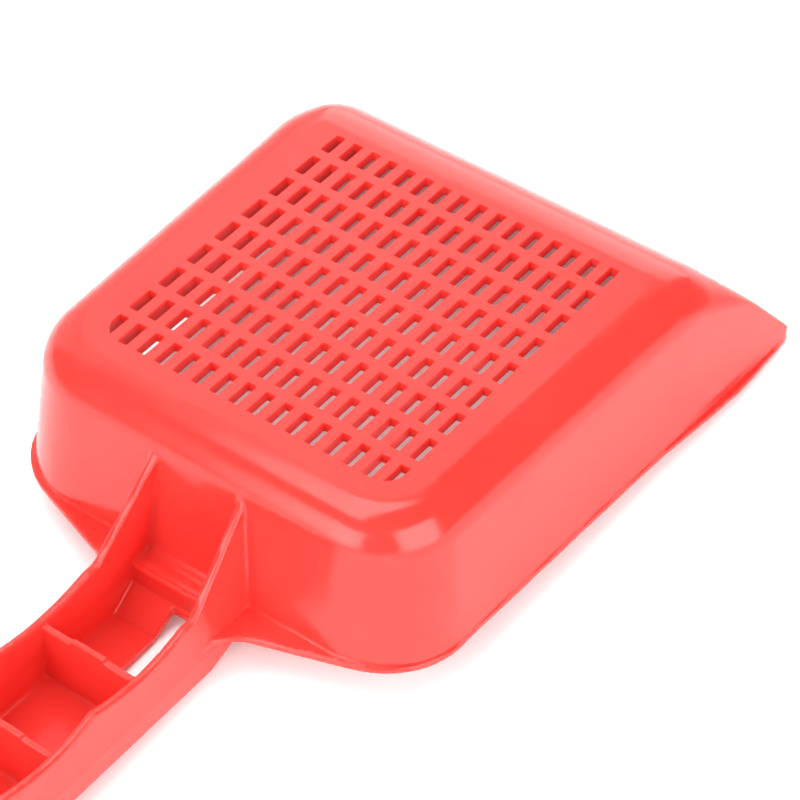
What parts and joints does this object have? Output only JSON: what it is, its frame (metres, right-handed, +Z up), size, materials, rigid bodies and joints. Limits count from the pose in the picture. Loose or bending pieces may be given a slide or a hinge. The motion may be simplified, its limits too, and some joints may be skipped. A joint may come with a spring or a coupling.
{
  "type": "litter scoop",
  "caption": "Perforated litter scoop in glossy coral-red plastic, lying upside down: slotted pan with a slanted lip, ribbed hollow handle with finger crests.",
  "frame": {"origin": "on the ground, in the middle of the scoop's box, the scoop lying upside down on its lip and on the belly of its handle", "axes": "+Y from the handle to the scooping lip, +X to the right side wall, +Z up, out of the slotted floor"},
  "size_m": [0.135, 0.2923, 0.0503],
  "materials": {
    "moulding": "gloss"
  },
  "bodies": {
    "root": {"sieve_panel": "moulding", "rear_wall": "moulding", "left_side_wall": "moulding", "right_side_wall": "moulding", "front_ramp": "moulding", "left_rim_flange": "moulding", "right_rim_flange": "moulding", "left_shoulder": "moulding", "right_shoulder": "moulding", "throat_ledge": "moulding", "handle_floor": "moulding", "left_grip_wall": "moulding", "right_grip_wall": "moulding", "left_gusset": "moulding", "right_gusset": "moulding", "cross_rib_1": "moulding", "cross_rib_2": "moulding", "cross_rib_3": "moulding", "hang_end": "moulding"}
  },
  "joints": []
}
